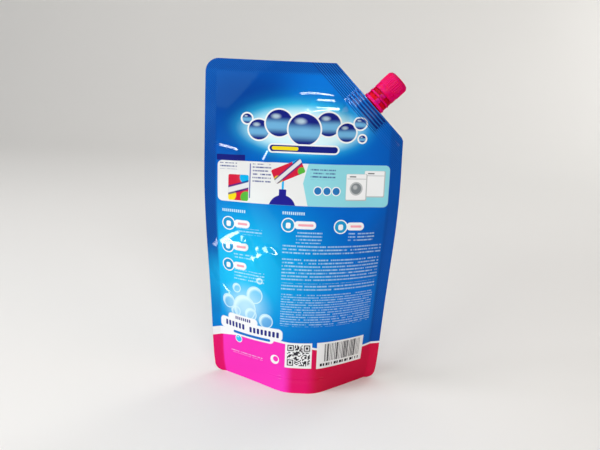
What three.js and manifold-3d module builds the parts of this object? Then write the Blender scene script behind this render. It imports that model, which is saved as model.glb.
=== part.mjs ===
// Stand-up refill pouch with a corner spout and a screw cap.
// Millimetres, +Z up. The pouch stands on z = 0 and its front faces -Y.
import * as THREE from "three";
import { LoftGeometry } from "three/addons/geometries/LoftGeometry.js";
import { mergeVertices } from "three/addons/utils/BufferGeometryUtils.js";
import Module from "manifold-3d";

const wasm = await Module();
wasm.setup();

const rad = THREE.MathUtils.degToRad;
const { clamp, lerp, smoothstep } = THREE.MathUtils;
const TURN = 2 * Math.PI;

// Flat film pack: u runs across it from the middle, v runs up it from the foot
const FILM = 0.2;             // one web of laminate
const WIDTH = 150;
const HEIGHT = 250;
const SIDE_SEAL = 7;
const TOP_RADIUS = 10;
const FOOT_RADIUS = 6;
const CUT_START = 21.5;       // where the cut corner leaves the top edge
const CUT_ANGLE = rad(46);    // below level
const CUT_EASE = 1.5;         // rounding at the cut's lower end

// Filled shape
const BELLY_DEPTH = 28.8;     // from the middle plane to the front, low on the pouch
const FILL_HEIGHT = 168;      // above this the two webs lie together
const FILL_SOFT = 1.6;        // how gently the belly runs out there
const FOOT_FLARE = 4.7;       // extra depth at the standing edge
const FLARE_HEIGHT = 12;
const TAKE_UP = 1.28;         // how fast the width draws in as the belly grows
const FOOT_FLAT = 0.22;       // share of the foot that is straight between its two soft folds
const FOLD_SOFT = 0.16;
const FOLD_HEIGHT = 60;       // where those folds have faded out
const FOLD_SHIFT = 0.08;      // the front folds sit a little to the right

// Bends of the flat top
const SHOULDER_LEAN = rad(10); // the spout's shoulder leans back
const SHOULDER_START = 18;
const SHOULDER_LOW = 120;
const SHOULDER_HIGH = 205;
const SHOULDER_SOFT = 9;
const CORNER_LEAN = rad(8);   // the other corner leans back past a curved crease
const CREASE_RADIUS = 97;
const CREASE_ACROSS = 28.3;   // the crease's centre, from the middle
const CREASE_DROP = 85.2;     // and below the top edge
const CREASE_SOFT = 5;

// Bottom gusset
const SKIRT_WALL = 0.5;       // front or back web sealed to the gusset web
const SKIRT_HEIGHT = 9;       // gusset seal above the foot in the middle
const GUSSET_RISE = 28;       // how much higher the seal runs at the sides
const GUSSET_SPAN = 0.94;     // share of the inner width that is hollow underneath
const REST_SPAN = 0.5;        // share of the inner width where the gusset lies on the table
const REST_SINK = 0.6;
const GUSSET_PEAK = 0.8;      // height of the gusset's fold at the sides, as a share of its seal

// Spout and cap: h runs along the spout's axis from the cut edge
const GAP = 0.3;              // between neighbouring pieces
const SPOUT_PLACE = 0.533;    // along the cut, from its upper end
const WELD_LENGTH = 31;
const WELD_THICKNESS = 9.4;
const WELD_DEPTH = 10;
const WELD_RIBS = 4;
const WELD_RIB = 0.3;
const SLEEVE_WALL = 0.4;      // film over the weld base
const SLEEVE_SPREAD = 2.2;
const SLEEVE_FADE = 5;
const SLEEVE_PROUD = 0.15;
const FLANGE_RADIUS = 9.3;
const FLANGE_THICKNESS = 1.9;
const NECK_RADIUS = 6.4;
const NECK_TOP = 23;
const BORE_RADIUS = 4.7;
const WELD_BORE_RADIUS = 3.6;
const LUG_COUNT = 4;
const LUG_ANGLE = rad(26);
const LUG_TURN = rad(-100);   // places one lug just left of the front
const LUG_RADIUS = 8.8;
const LUG_HEIGHT = 3.2;
const WINDOW_DEPTH = 0.8;     // how far the wall between two lugs or two posts lies back
const BAND_RADIUS = 9.1;
const BAND_HEIGHT = 1.4;
const BAND_WALL = 2.3;
const BEAD_PROUD = 0.7;       // holds the band down
const BEAD_HEIGHT = 0.9;
const POST_HEIGHT = 2.9;
const POST_WALL = 1.1;
const PITCH = 3;
const THREAD_TURNS = 2.2;
const CAP_THREAD_TURNS = 1.6;
const THREAD_START = 13;
const THREAD_PROUD = 1;
const THREAD_ROOT = 1.1;      // axial width at the wall
const THREAD_TIP = 0.6;
const CAP_HEIGHT = 16.8;
const COLLAR_RADIUS = 8.9;
const COLLAR_HEIGHT = 4.8;
const GRIP_RADIUS = 8.8;      // between the grip's ribs
const GRIP_RIBS = 32;
const RIB_PROUD = 0.35;
const DOME_RADIUS = 2.8;
const DOME_RISE = 0.4;
const CAP_TOP_WALL = 1.6;
const PLUG_LENGTH = 4.5;
const PLUG_WALL = 0.5;
const ROUND = 36;             // facets round the closure
const BOAT_STEPS = 10;        // facets along each side of the weld base

// Solids are joined and cut here and turned back into geometries
function solid(geometry) {
  const bare = new THREE.BufferGeometry();
  bare.setAttribute("position", geometry.getAttribute("position"));
  bare.setIndex(geometry.getIndex());
  const merged = mergeVertices(bare, 1e-4);
  const vertProperties = new Float32Array(merged.attributes.position.array);
  const triVerts = new Uint32Array(merged.index.array);
  return new wasm.Manifold(new wasm.Mesh({ numProp: 3, vertProperties, triVerts }));
}

function geometryOf(manifold) {
  const mesh = manifold.getMesh();
  const geometry = new THREE.BufferGeometry();
  geometry.setAttribute("position", new THREE.BufferAttribute(mesh.vertProperties, 3));
  geometry.setIndex(new THREE.BufferAttribute(mesh.triVerts, 1));
  geometry.computeVertexNormals();
  return geometry;
}

function piece(name, manifold, color, roughness) {
  const material = new THREE.MeshStandardMaterial({ color, roughness, metalness: 0 });
  const mesh = new THREE.Mesh(geometryOf(manifold), material);
  mesh.name = name;
  return mesh;
}

const ramp = (d, soft) => (d + Math.hypot(d, soft)) / 2;

// How far a quarter round of that radius still stands up at a distance from its centre
const roundRise = (radius, d) => Math.sqrt(Math.max(radius ** 2 - d ** 2, 0));

function softMin(a, b, soft) {
  const near = Math.max(soft - Math.abs(a - b), 0) / soft;
  return Math.min(a, b) - (near * near * soft) / 4;
}

// Outline of the flat pack
const SIDE = WIDTH / 2;
const INNER = SIDE - SIDE_SEAL;
const CUT_SLOPE = Math.tan(CUT_ANGLE);

function topEdge(u) {
  const intoCorner = TOP_RADIUS - (u + SIDE);
  if (intoCorner > 0) return HEIGHT - TOP_RADIUS + roundRise(TOP_RADIUS, intoCorner);
  const cut = HEIGHT - Math.max(u - CUT_START, 0) * CUT_SLOPE;
  return cut - Math.max(u - (SIDE - CUT_EASE), 0) ** 2 / CUT_EASE;
}

function footEdge(u) {
  const intoCorner = Math.max(Math.abs(u) - (SIDE - FOOT_RADIUS), 0);
  return FOOT_RADIUS - roundRise(FOOT_RADIUS, intoCorner);
}

// Filled shape of the pack
function depth(v) {
  const belly = BELLY_DEPTH * (1 - (v / FILL_HEIGHT) ** 2);
  return (belly + Math.hypot(belly, 2 * FILL_SOFT)) / 2 + FOOT_FLARE * Math.exp(-v / FLARE_HEIGHT);
}

function fullness(t, v, shift) {
  const folded = softMin((1 - Math.abs(t - shift * (1 - t * t))) / (1 - FOOT_FLAT), 1, FOLD_SOFT);
  return lerp(1 - t * t, folded, 1 - smoothstep(v, 0, FOLD_HEIGHT));
}

function bend(u, v) {
  const shoulder = Math.tan(SHOULDER_LEAN) * ramp(u - SHOULDER_START, SHOULDER_SOFT);
  const fromCentre = Math.hypot(Math.min(u - CREASE_ACROSS, 0), v - HEIGHT + CREASE_DROP);
  const corner = Math.tan(CORNER_LEAN) * ramp(fromCentre - CREASE_RADIUS, CREASE_SOFT);
  return (shoulder + corner) * smoothstep(v, SHOULDER_LOW, SHOULDER_HIGH);
}

// side is -1 for the front web and 1 for the back web; inset moves the point into the pack
function filmPoint(u, v, side, inset = 0) {
  const level = Math.max(v, 0);
  const t = clamp(u / INNER, -1, 1);
  const chord = Math.sqrt(INNER ** 2 - TAKE_UP * depth(level) ** 2);
  const x = chord * t + (u - INNER * t);
  const shift = side < 0 ? FOLD_SHIFT : 0;
  const away = FILM + depth(level) * fullness(t, level, shift) - inset;
  return new THREE.Vector3(x, bend(u, level) + side * away, v);
}

const steps = (count, from, to) => Array.from({ length: count + 1 }, (_, i) => lerp(from, to, i / count));

// The pack as columns from the left side seal to the right one
const COLUMN_STEPS = 30;
const ROW_STEPS = 25;
const ROW_CROWD = 1.15;       // rows crowd towards the foot
const SEAL_STEPS = [0, 0.08, 0.25, 0.5, 0.78];

function packColumns() {
  const seal = SEAL_STEPS.map((share) => SIDE - share * SIDE_SEAL);
  const inner = steps(COLUMN_STEPS, -INNER, INNER);
  const near = WIDTH / COLUMN_STEPS / 4;
  const kept = inner.filter((u) => Math.abs(u - CUT_START) > near);
  return [...seal.map((u) => -u), ...kept, CUT_START, ...seal].sort((a, b) => a - b);
}

function packSection(u) {
  const rows = steps(ROW_STEPS, 0, 1).map((s) => lerp(footEdge(u), topEdge(u), s ** ROW_CROWD));
  const back = rows.map((v) => filmPoint(u, v, 1));
  const front = rows.map((v) => filmPoint(u, v, -1));
  return [...back, ...front.reverse()];
}

function packBody() {
  return solid(new LoftGeometry(packColumns().map(packSection), { capStart: true, capEnd: true }));
}

// The hollow under the gusset: it lies on the table in the middle and rises to a fold at each side
function gussetSection(u) {
  const t = Math.abs(u) / INNER;
  const seal = SKIRT_HEIGHT + GUSSET_RISE * t ** 2.2;
  const toSide = clamp((t - REST_SPAN) / (1 - REST_SPAN), 0, 1);
  const middle = lerp(-REST_SINK, GUSSET_PEAK * seal, toSide ** 1.6);
  const wall = [-2 * REST_SINK, 0, seal / 2, seal];
  const front = wall.map((v) => filmPoint(u, v, -1, SKIRT_WALL));
  const back = wall.map((v) => filmPoint(u, v, 1, SKIRT_WALL)).reverse();
  const across = steps(10, -1, 1).slice(1, -1).map((r) => {
    const point = front[3].clone().lerp(back[0], (r + 1) / 2);
    point.z = lerp(middle, seal, Math.abs(r) ** 3);
    return point;
  });
  return [...front, ...across, ...back].reverse();
}

function gussetHollow() {
  const columns = packColumns().filter((u) => Math.abs(u) < INNER * GUSSET_SPAN);
  return solid(new LoftGeometry(columns.map(gussetSection), { capStart: true, capEnd: true }));
}

// The spout's frame: x runs down the cut, y runs back through the film, z runs out along the axis
const SPOUT_U = lerp(CUT_START, SIDE, SPOUT_PLACE);
const SPOUT_V = topEdge(SPOUT_U);

function closureFrame() {
  const origin = new THREE.Vector3(SPOUT_U, bend(SPOUT_U, SPOUT_V), SPOUT_V);
  const turn = Math.atan(bend(SPOUT_U + 0.5, SPOUT_V) - bend(SPOUT_U - 0.5, SPOUT_V));
  const level = new THREE.Vector3(Math.cos(turn), Math.sin(turn), 0);
  const up = new THREE.Vector3(0, 0, 1);
  const along = level.clone().multiplyScalar(Math.cos(CUT_ANGLE)).addScaledVector(up, -Math.sin(CUT_ANGLE));
  const axis = level.clone().multiplyScalar(Math.sin(CUT_ANGLE)).addScaledVector(up, Math.cos(CUT_ANGLE));
  const through = new THREE.Vector3().crossVectors(axis, along);
  return new THREE.Matrix4().makeBasis(along, through, axis).setPosition(origin);
}

// Boat-shaped outline: halfLength along x, halfDepth along y in the middle
function boatSection(h, halfLength, halfDepth, edge) {
  const across = steps(BOAT_STEPS, -1, 1);
  const point = (s, side) =>
    new THREE.Vector3(s * halfLength, side * (halfDepth * (1 - s * s) + edge), h);
  return [...across.map((s) => point(s, -1)), ...across.reverse().map((s) => point(s, 1))];
}

function boat(sections) {
  return new LoftGeometry(sections, { capStart: true, capEnd: true });
}

const ribAt = (h) => (WELD_RIB / 2) * Math.cos((TURN * WELD_RIBS * h) / WELD_DEPTH);
const POCKET_LENGTH = WELD_LENGTH / 2 + GAP;
const POCKET_DEPTH = WELD_THICKNESS / 2 + GAP;

// Film pulled over the weld base, with its ribs showing through
function sleeve() {
  const halfLength = POCKET_LENGTH + SLEEVE_SPREAD;
  const halfDepth = POCKET_DEPTH + SLEEVE_WALL + WELD_RIB / 2;
  const straight = WELD_DEPTH + 2 * GAP;
  const fading = steps(4, straight, straight + SLEEVE_FADE).slice(1);
  const fade = (h) => 1 - clamp((h - straight) / SLEEVE_FADE, 0, 1) ** 2;
  const sections = [...steps(2 * WELD_RIBS, -SLEEVE_PROUD, straight), ...fading].map((h) =>
    boatSection(-h, halfLength, (halfDepth + ribAt(h)) * fade(h), FILM / 2));
  return boat(sections.reverse());
}

function pocket() {
  const section = (h) => boatSection(h, POCKET_LENGTH, POCKET_DEPTH, GAP / 2);
  return boat([-WELD_DEPTH - GAP, 2 * SLEEVE_PROUD].map(section));
}

// Closure parts, drawn about their own axis
const lathe = (points) => solid(new THREE.LatheGeometry(points.map(([r, h]) => new THREE.Vector2(r, h)), ROUND)
  .rotateX(Math.PI / 2));

function sector(innerRadius, outerRadius, angle, from, to) {
  const shape = new THREE.Shape();
  shape.absarc(0, 0, outerRadius, -angle / 2, angle / 2, false);
  shape.absarc(0, 0, innerRadius, angle / 2, -angle / 2, true);
  shape.closePath();
  const geometry = new THREE.ExtrudeGeometry(shape, { depth: to - from, bevelEnabled: false, curveSegments: 5 });
  return geometry.translate(0, 0, from);
}

function sectors(innerRadius, outerRadius, from, to) {
  const places = Array.from({ length: LUG_COUNT }, (_, i) => LUG_TURN + (TURN * i) / LUG_COUNT);
  return places.map((place) =>
    solid(sector(innerRadius, outerRadius, LUG_ANGLE, from, to).rotateZ(place)));
}

// A right-handed ridge from the wall radius to the crest radius
function threadRidge(wall, crest, start, turns) {
  const count = Math.round(turns * 24);
  const sections = steps(count, 0, 1).map((s) => {
    const angle = TURN * turns * s;
    const h = start + PITCH * turns * s;
    const grown = clamp((Math.min(s, 1 - s) * count) / 3, 0.1, 1);
    const reach = lerp(wall, crest, grown);
    const point = (r, dh) => new THREE.Vector3(r * Math.cos(angle), r * Math.sin(angle), h + dh);
    const wallSide = [point(wall, -THREAD_ROOT / 2), point(wall, THREAD_ROOT / 2)];
    const crestSide = [point(reach, THREAD_TIP / 2), point(reach, -THREAD_TIP / 2)];
    return crest > wall ? [...wallSide, ...crestSide] : [...wallSide, ...crestSide].reverse();
  });
  return solid(new LoftGeometry(sections, { capStart: true, capEnd: true }));
}

const join = (first, ...others) => others.reduce((sum, next) => sum.add(next), first);

// Heights along the axis, each from the piece below it
const FLANGE_FOOT = SLEEVE_PROUD + GAP;
const FLANGE_TOP = FLANGE_FOOT + FLANGE_THICKNESS;
const LUG_TOP = FLANGE_TOP + LUG_HEIGHT;
const BAND_FOOT = LUG_TOP + GAP;
const BAND_TOP = BAND_FOOT + BAND_HEIGHT;
const BEAD_FOOT = BAND_TOP + GAP;
const POST_TOP = BAND_TOP + POST_HEIGHT;
const CAP_FOOT = POST_TOP + GAP;
const CAP_TOP = CAP_FOOT + CAP_HEIGHT;
const CAP_CEILING = CAP_TOP - CAP_TOP_WALL;
const CAP_BORE = NECK_RADIUS + THREAD_PROUD + GAP;
const SINK = 0.2;             // how far a joined detail runs into its body

function spout() {
  const bead = NECK_RADIUS + BEAD_PROUD;
  const core = LUG_RADIUS - WINDOW_DEPTH;
  const neck = lathe([
    [0, FLANGE_FOOT], [FLANGE_RADIUS, FLANGE_FOOT], [FLANGE_RADIUS, FLANGE_TOP], [core, FLANGE_TOP],
    [core, LUG_TOP], [NECK_RADIUS, LUG_TOP],
    [NECK_RADIUS, BEAD_FOOT], [bead, BEAD_FOOT], [bead, BEAD_FOOT + BEAD_HEIGHT / 3],
    [NECK_RADIUS, BEAD_FOOT + BEAD_HEIGHT], [NECK_RADIUS, NECK_TOP - SINK], [NECK_RADIUS - SINK, NECK_TOP],
    [0, NECK_TOP],
  ]);
  const weld = solid(boat(steps(2 * WELD_RIBS, -WELD_DEPTH, FLANGE_FOOT + SINK).map((h) =>
    boatSection(h, WELD_LENGTH / 2, WELD_THICKNESS / 2 - WELD_RIB / 2 + ribAt(h), GAP / 2))));
  const bore = lathe([
    [0, -WELD_DEPTH - 1], [WELD_BORE_RADIUS, -WELD_DEPTH - 1], [WELD_BORE_RADIUS, FLANGE_FOOT],
    [BORE_RADIUS, LUG_TOP], [BORE_RADIUS, NECK_TOP + 1], [0, NECK_TOP + 1],
  ]);
  const lugs = sectors(core - SINK, LUG_RADIUS, FLANGE_TOP - SINK, LUG_TOP);
  const thread = threadRidge(NECK_RADIUS - SINK, NECK_RADIUS + THREAD_PROUD, THREAD_START, THREAD_TURNS);
  return join(neck, weld, thread, ...lugs).subtract(bore);
}

function tamperBand() {
  const inside = BAND_RADIUS - BAND_WALL;
  const outside = COLLAR_RADIUS - SINK;
  const skirtOutside = outside - WINDOW_DEPTH;
  const skirtInside = NECK_RADIUS + BEAD_PROUD + GAP;
  const ring = lathe([
    [inside, BAND_FOOT], [BAND_RADIUS, BAND_FOOT], [BAND_RADIUS, BAND_TOP], [skirtOutside, BAND_TOP],
    [skirtOutside, POST_TOP], [skirtInside, POST_TOP], [skirtInside, BAND_TOP], [inside, BAND_TOP],
    [inside, BAND_FOOT],
  ]);
  return join(ring, ...sectors(outside - POST_WALL, outside, BAND_TOP - SINK, POST_TOP));
}

function gripRibs(from, to) {
  const shape = new THREE.Shape();
  const turnOf = (rib, share) => (TURN * (rib + share)) / GRIP_RIBS;
  const corners = [[0, 0], [0.2, 1], [0.5, 1], [0.7, 0]];
  for (let rib = 0; rib < GRIP_RIBS; rib++) {
    for (const [share, out] of corners) {
      const r = GRIP_RADIUS + out * RIB_PROUD;
      const angle = turnOf(rib, share);
      if (rib === 0 && share === 0) shape.moveTo(r * Math.cos(angle), r * Math.sin(angle));
      else shape.lineTo(r * Math.cos(angle), r * Math.sin(angle));
    }
  }
  shape.closePath();
  return solid(new THREE.ExtrudeGeometry(shape, { depth: to - from, bevelEnabled: false }).translate(0, 0, from));
}

function cap() {
  const gripFoot = CAP_FOOT + COLLAR_HEIGHT;
  const gripTop = CAP_TOP - DOME_RISE - DOME_RADIUS;
  const dome = steps(4, 0, Math.PI / 2).map((angle) =>
    [GRIP_RADIUS - DOME_RADIUS * (1 - Math.cos(angle)), gripTop + DOME_RADIUS * Math.sin(angle)]);
  const shell = lathe([
    [0, CAP_FOOT], [COLLAR_RADIUS, CAP_FOOT], [COLLAR_RADIUS, gripFoot], [GRIP_RADIUS, gripFoot],
    ...dome, [0, CAP_TOP],
  ]);
  const inside = lathe([
    [0, CAP_FOOT - 1], [CAP_BORE, CAP_FOOT - 1], [CAP_BORE, CAP_CEILING], [0, CAP_CEILING],
  ]);
  const plugRadius = BORE_RADIUS - GAP;
  const plugFoot = CAP_CEILING - PLUG_LENGTH;
  const plug = lathe([
    [plugRadius - PLUG_WALL, plugFoot], [plugRadius - SINK, plugFoot], [plugRadius, plugFoot + SINK],
    [plugRadius, CAP_CEILING + SINK], [plugRadius - PLUG_WALL, CAP_CEILING + SINK],
    [plugRadius - PLUG_WALL, plugFoot],
  ]);
  const thread = threadRidge(CAP_BORE + SINK, NECK_RADIUS + GAP, THREAD_START + PITCH / 2, CAP_THREAD_TURNS);
  return join(shell, gripRibs(gripFoot, gripTop)).subtract(inside).add(thread).add(plug);
}

// Assembly
const frame = closureFrame();
const pouch = packBody()
  .add(solid(sleeve().applyMatrix4(frame)))
  .subtract(solid(pocket().applyMatrix4(frame)))
  .subtract(gussetHollow());

const closure = new THREE.Group();
closure.applyMatrix4(frame);
closure.add(
  piece("spout", spout(), 0xe4187f, 0.35),
  piece("tamper_band", tamperBand(), 0xee1f96, 0.35),
  piece("cap", cap(), 0xee1f96, 0.35),
);

const object = new THREE.Group();
object.add(piece("pouch", pouch, 0x0a62c6, 0.25), closure);

export default object;
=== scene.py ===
# Printed stand-up pouch with a welded corner spout, a tamper band and a screw cap.
# Sizes are in millimetres and become metres where a mesh is made.
import math

import bmesh
import bpy
import numpy as np
from mathutils import Matrix, Vector


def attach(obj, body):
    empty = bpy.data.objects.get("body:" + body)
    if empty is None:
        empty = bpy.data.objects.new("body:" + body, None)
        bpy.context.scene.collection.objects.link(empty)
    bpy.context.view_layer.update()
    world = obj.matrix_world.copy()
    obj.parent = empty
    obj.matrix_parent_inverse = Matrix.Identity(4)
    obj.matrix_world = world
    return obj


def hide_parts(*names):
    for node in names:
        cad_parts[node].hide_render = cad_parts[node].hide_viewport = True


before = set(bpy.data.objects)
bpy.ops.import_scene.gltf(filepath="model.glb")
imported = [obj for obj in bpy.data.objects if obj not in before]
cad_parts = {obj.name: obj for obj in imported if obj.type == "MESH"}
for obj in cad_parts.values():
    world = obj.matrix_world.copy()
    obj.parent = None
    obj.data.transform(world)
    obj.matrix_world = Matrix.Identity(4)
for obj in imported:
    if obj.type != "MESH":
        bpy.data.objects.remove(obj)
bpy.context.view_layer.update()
MM = 0.001
TURN = 2 * math.pi

# Flat film: u runs across it from the middle, v runs up it from the foot
FILM = 0.2
WIDTH = 150
HEIGHT = 250
SIDE_SEAL = 7
TOP_RADIUS = 10
FOOT_RADIUS = 6
CUT_START = 21.5
CUT_ANGLE = math.radians(46)
CUT_EASE = 1.5
SIDE = WIDTH / 2
INNER = SIDE - SIDE_SEAL

# Filled shape
BELLY_DEPTH = 28.8
FILL_HEIGHT = 168
FILL_SOFT = 1.6
FOOT_FLARE = 4.7
FLARE_HEIGHT = 12
TAKE_UP = 1.28
FOOT_FLAT = 0.22
FOLD_SOFT = 0.16
FOLD_HEIGHT = 60
FOLD_SHIFT = 0.08

# Bends of the flat top
SHOULDER_LEAN = math.radians(10)
SHOULDER_START = 18
SHOULDER_LOW = 120
SHOULDER_HIGH = 205
SHOULDER_SOFT = 9
CORNER_LEAN = math.radians(8)
CREASE_RADIUS = 97
CREASE_ACROSS = 28.3
CREASE_DROP = 85.2
CREASE_SOFT = 3

# Bottom gusset
SKIRT_WALL = 0.5
SKIRT_HEIGHT = 9
GUSSET_RISE = 28
REST_SPAN = 0.5
GUSSET_PEAK = 0.8

# Film over the spout's weld base
SPOUT_PLACE = 0.533
SPOUT_U = CUT_START + SPOUT_PLACE * (SIDE - CUT_START)
SPOUT_V = HEIGHT - (SPOUT_U - CUT_START) * math.tan(CUT_ANGLE)
WELD_LENGTH = 31
WELD_THICKNESS = 9.4
WELD_DEPTH = 10
SLEEVE_WALL = 0.4
SLEEVE_SPREAD = 2.5
SLEEVE_SWELL = 0.85
SLEEVE_OVERLAP = 0.6
SLEEVE_FADE = 5
SLEEVE_SOFT = 0.8
POCKET_DEPTH = 2
SLEEVE_LENGTH = WELD_LENGTH / 2 + SLEEVE_SPREAD
SLEEVE_DEPTH = WELD_THICKNESS / 2 + SLEEVE_SWELL
SLEEVE_STRAIGHT = WELD_DEPTH + SLEEVE_OVERLAP


def smoothstep(x, low, high):
    share = np.clip((x - low) / (high - low), 0, 1)
    return share * share * (3 - 2 * share)


def ramp(distance, soft):
    return (distance + np.hypot(distance, soft)) / 2


def soft_min(a, b, soft):
    near = np.maximum(soft - np.abs(a - b), 0) / soft
    return np.minimum(a, b) - near * near * soft / 4


def soft_max(a, b, soft):
    return -soft_min(-a, -b, soft)


def top_edge(u):
    into_corner = np.maximum(TOP_RADIUS - (u + SIDE), 0)
    corner = HEIGHT - TOP_RADIUS + np.sqrt(np.maximum(TOP_RADIUS**2 - into_corner**2, 0))
    cut = HEIGHT - np.maximum(u - CUT_START, 0) * math.tan(CUT_ANGLE)
    cut = cut - np.maximum(u - (SIDE - CUT_EASE), 0) ** 2 / CUT_EASE
    return np.minimum(corner, cut)


def foot_edge(u):
    into_corner = np.maximum(np.abs(u) - (SIDE - FOOT_RADIUS), 0)
    return FOOT_RADIUS - np.sqrt(np.maximum(FOOT_RADIUS**2 - into_corner**2, 0))


def belly(v):
    full = BELLY_DEPTH * (1 - (v / FILL_HEIGHT) ** 2)
    return (full + np.hypot(full, 2 * FILL_SOFT)) / 2 + FOOT_FLARE * np.exp(-v / FLARE_HEIGHT)


def fullness(t, v, shift):
    folded = soft_min((1 - np.abs(t - shift * (1 - t * t))) / (1 - FOOT_FLAT), 1, FOLD_SOFT)
    fold_share = 1 - smoothstep(v, 0, FOLD_HEIGHT)
    return (1 - t * t) * (1 - fold_share) + folded * fold_share


def lean(u, v):
    shoulder = math.tan(SHOULDER_LEAN) * ramp(u - SHOULDER_START, SHOULDER_SOFT)
    from_centre = np.hypot(np.minimum(u - CREASE_ACROSS, 0), v - HEIGHT + CREASE_DROP)
    corner = math.tan(CORNER_LEAN) * ramp(from_centre - CREASE_RADIUS, CREASE_SOFT)
    return (shoulder + corner) * smoothstep(v, SHOULDER_LOW, SHOULDER_HIGH)


def weld_place(u, v):
    """How far a point lies along the cut from the spout, and how far below the cut."""
    along = (u - SPOUT_U) * math.cos(CUT_ANGLE) + (SPOUT_V - v) * math.sin(CUT_ANGLE)
    below = (SPOUT_V - v) * math.cos(CUT_ANGLE) - (u - SPOUT_U) * math.sin(CUT_ANGLE)
    return along, below


def sleeve(u, v):
    """How far the film bulges over the weld base."""
    along, below = weld_place(u, v)
    lens = np.maximum(1 - (along / SLEEVE_LENGTH) ** 2, 0)
    run_out = 1 - np.clip((below - SLEEVE_STRAIGHT) / SLEEVE_FADE, 0, 1) ** 2
    return SLEEVE_DEPTH * lens * run_out


# Creases and dents in the front web: start, end, bow of the line, width and rise of its upper flank
FRONT_FOLDS = (
    ((-13, 224.2), (31, 222.4), 3.2, 2.4, 0.98),
    ((2, 221.4), (35, 219.2), 1.2, 2.6, 1.43),
    ((-4, 211.6), (35, 213.4), 1.8, 5.5, 3.25),
    ((-70, 185.8), (-45, 180), 0.8, 3.0, 1.55),
    ((-77, 99.6), (-36, 114.0), 2.4, 8.4, 3.3),
    ((-39, 88.4), (-13, 105.8), 8.4, 7.5, 2.3),
    ((-86, 96), (-48, 59), -0.8, 4.0, 1.96),
    ((-31, 172.5), (-24.5, 186), 0.0, 2.2, 1.36),
    ((57, 207), (75, 186), 1.0, 3.0, 0.9),
    ((74, 160), (36, 118), 3.0, 9.0, 1.2),
    ((74, 138), (44, 104), 3.0, 8.0, -0.9),
)
LOWER_FLANK = 3
FLANK_SOFT = 0.4
FOLD_RUN_OUT = 0.25

# Slow waves of the slack film: wavelength, direction in degrees, phase and height
WAVES = ((34, 20, 0.4, 0.07), (47, 75, 2.1, 0.09), (27, -40, 4.0, 0.04), (61, 110, 5.2, 0.12))

# Creases and waves grow to their full height between these distances from each edge
CALM_SIDE = (0, 6)
CALM_FOOT = (4, 20)
CALM_TOP = (2, 12)


def fold(u, v, start, end, bow, width, rise):
    """A ridge along a bowed line, with a straight steep flank above it and a long gentle one below."""
    run = (end[0] - start[0], end[1] - start[1])
    length = math.hypot(*run)
    share = np.clip(((u - start[0]) * run[0] + (v - start[1]) * run[1]) / length**2, 0, 1)
    across = ((v - start[1]) * run[0] - (u - start[0]) * run[1]) / length
    across = (across - 4 * bow * share * (1 - share)) * math.copysign(1, run[0])
    climb = 1 - np.abs(across) / (width * np.where(across > 0, 1, LOWER_FLANK))
    height = soft_max(soft_min(climb, 1, FLANK_SOFT), 0, FLANK_SOFT)
    return rise * height * smoothstep(np.minimum(share, 1 - share), 0, FOLD_RUN_OUT)


def relief(u, v, side):
    """How far creases and slow waves lift the film off its smooth shape."""
    total = np.zeros(np.broadcast(u, v).shape)
    for length, turn, phase, height in WAVES:
        turn = math.radians(turn)
        total += height * np.sin(TURN * (u * math.cos(turn) + v * math.sin(turn)) / length + phase + side)
    if side < 0:
        for each in FRONT_FOLDS:
            total += fold(u, v, *each)
    inside = smoothstep(SIDE - np.abs(u), *CALM_SIDE) * smoothstep(v, *CALM_FOOT)
    return total * inside * smoothstep(top_edge(u) - v, *CALM_TOP)


def film_point(u, v, side, inset=0, detail=True):
    """Where a place of the flat film comes to lie; side is -1 for the front web and 1 for the back web."""
    t = np.clip(u / INNER, -1, 1)
    chord = np.sqrt(INNER**2 - TAKE_UP * belly(v) ** 2)
    away = FILM + belly(v) * fullness(t, v, FOLD_SHIFT if side < 0 else 0)
    if detail:
        away = soft_max(away + relief(u, v, side), sleeve(u, v), SLEEVE_SOFT)
    away = np.maximum(away - inset, 0)
    return np.stack(np.broadcast_arrays(chord * t + u - INNER * t, lean(u, v) + side * away, v), axis=-1)


LENGTH_STEPS = 40


def film_length(u, v, side):
    """Distance along the film from its middle line, so that the print isn't stretched."""
    total = np.zeros(np.broadcast(u, v).shape)
    last = film_point(0 * u, v, side, detail=False)
    for step in range(1, LENGTH_STEPS + 1):
        here = film_point(u * step / LENGTH_STEPS, v, side, detail=False)
        total += np.linalg.norm(here - last, axis=-1)
        last = here
    return total * np.sign(u)


def stepped(*stops):
    """Places from stop to stop; each stop after the first comes with the number of steps up to it."""
    places = [np.array([stops[0]])]
    last = stops[0]
    for stop, count in stops[1:]:
        places.append(np.linspace(last, stop, count + 1)[1:])
        last = stop
    return np.concatenate(places)


# Grid of the film: rows are shares of its height, and both crowd together where the front is creased
CORNER_COLUMNS = 10
INNER_COLUMNS = ((-12, 64), (CUT_START, 52), (36, 22), (SIDE - FOOT_RADIUS, 34))
FRONT_ROWS = stepped(0, (0.22, 40), (0.5, 100), (0.8, 75), (0.925, 62), (1, 18))[:, None]
BACK_ROWS = stepped(0, (1, 125))[:, None]
SKIRT_ROWS = 7
GUSSET_ROWS = 26
FRONT_WEB, BACK_WEB, GUSSET_WEB, CUT_EDGE = range(4)

# Hollow under the pouch: its share of the inner width and the powers of its curves
GUSSET_SPAN = 0.99
SEAL_CURVE = 2.2
PEAK_CURVE = 1.6
ARCH_CURVE = 3

# The gusset's own stretch of flat film, below the foot of the front
GUSSET_PLACE = -40
GUSSET_REACH = 30


def film_columns():
    quarter = np.linspace(0, math.pi / 2, CORNER_COLUMNS)
    left = -SIDE + TOP_RADIUS * (1 - np.cos(quarter))
    right = SIDE - FOOT_RADIUS * (1 - np.cos(quarter[::-1]))
    inner = stepped(left[-1], *INNER_COLUMNS)
    return np.concatenate([left[:1], left, inner[1:], right[1:], right[-1:]])


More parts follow.
